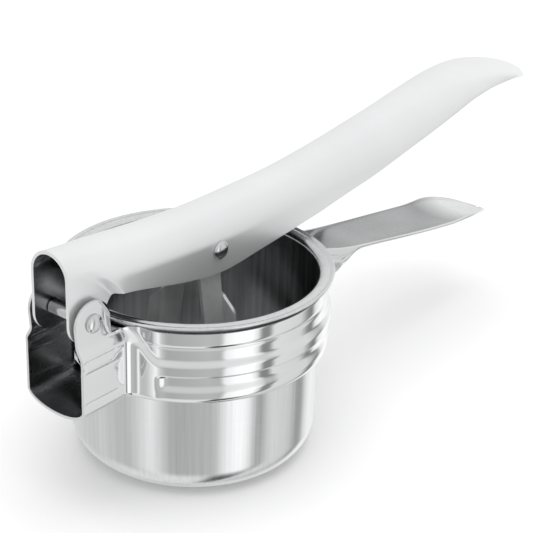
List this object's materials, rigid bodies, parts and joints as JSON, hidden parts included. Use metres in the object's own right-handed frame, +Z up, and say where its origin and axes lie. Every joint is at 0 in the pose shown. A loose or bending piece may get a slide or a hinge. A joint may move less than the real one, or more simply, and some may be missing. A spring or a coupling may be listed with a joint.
{
  "type": "potato ricer",
  "caption": "Hand potato ricer of pressed stainless steel: a perforated drawn basket in a ribbed collar with a trough handle, and a hinged channel lever that carries a press plate on two legs.",
  "frame": {"origin": "middle of the basket's flat floor, on its underside", "axes": "+X along the handles towards their tips, +Y across the hinge, +Z up along the basket's axis"},
  "size_m": [0.2509, 0.09, 0.0952],
  "materials": {
    "polished_steel": "mirror-polished stainless sheet",
    "brushed_steel": "drawn stainless with fine brushing round the basket",
    "satin_steel": "satin-polished stainless sheet",
    "plunger_steel": "dull pressed stainless",
    "rivet_steel": "bright peened rivet steel"
  },
  "bodies": {
    "frame": {"lower_frame": "polished_steel", "hinge_rivet": "rivet_steel", "hinge_spacer": "rivet_steel", "hinge_washer_near": "rivet_steel", "hinge_washer_far": "rivet_steel"},
    "basket": {"cup": "brushed_steel"},
    "lever": {"upper_lever": "satin_steel", "plunger_rivet": "rivet_steel", "plunger_washer_near": "rivet_steel", "plunger_washer_far": "rivet_steel"},
    "plunger": {"plunger_leg_near": "plunger_steel", "plunger_leg_far": "plunger_steel", "plunger_sleeve": "rivet_steel", "press_plate": "plunger_steel", "foot_rivet_near_1": "rivet_steel", "foot_rivet_near_2": "rivet_steel", "foot_rivet_far_1": "rivet_steel", "foot_rivet_far_2": "rivet_steel"}
  },
  "joints": [
    {"name": "lever_hinge", "type": "hinge", "parent": "frame", "child": "lever", "pos_m": [-0.0548, 0, 0.066], "axis": [0, -1, 0], "range_deg": [0, 80]},
    {"name": "plunger_swing", "type": "hinge", "parent": "lever", "child": "plunger", "pos_m": [0.0004, 0, 0.071], "axis": [0, 1, 0], "range_deg": [0, 41]},
    {"name": "basket_turn", "type": "hinge", "parent": "frame", "child": "basket", "pos_m": [0, 0, 0], "axis": [0, 0, 1], "continuous": true}
  ],
  "couplings": [
    {"joint": "plunger_swing", "follows": "lever_hinge", "ratio": 0.5}
  ]
}
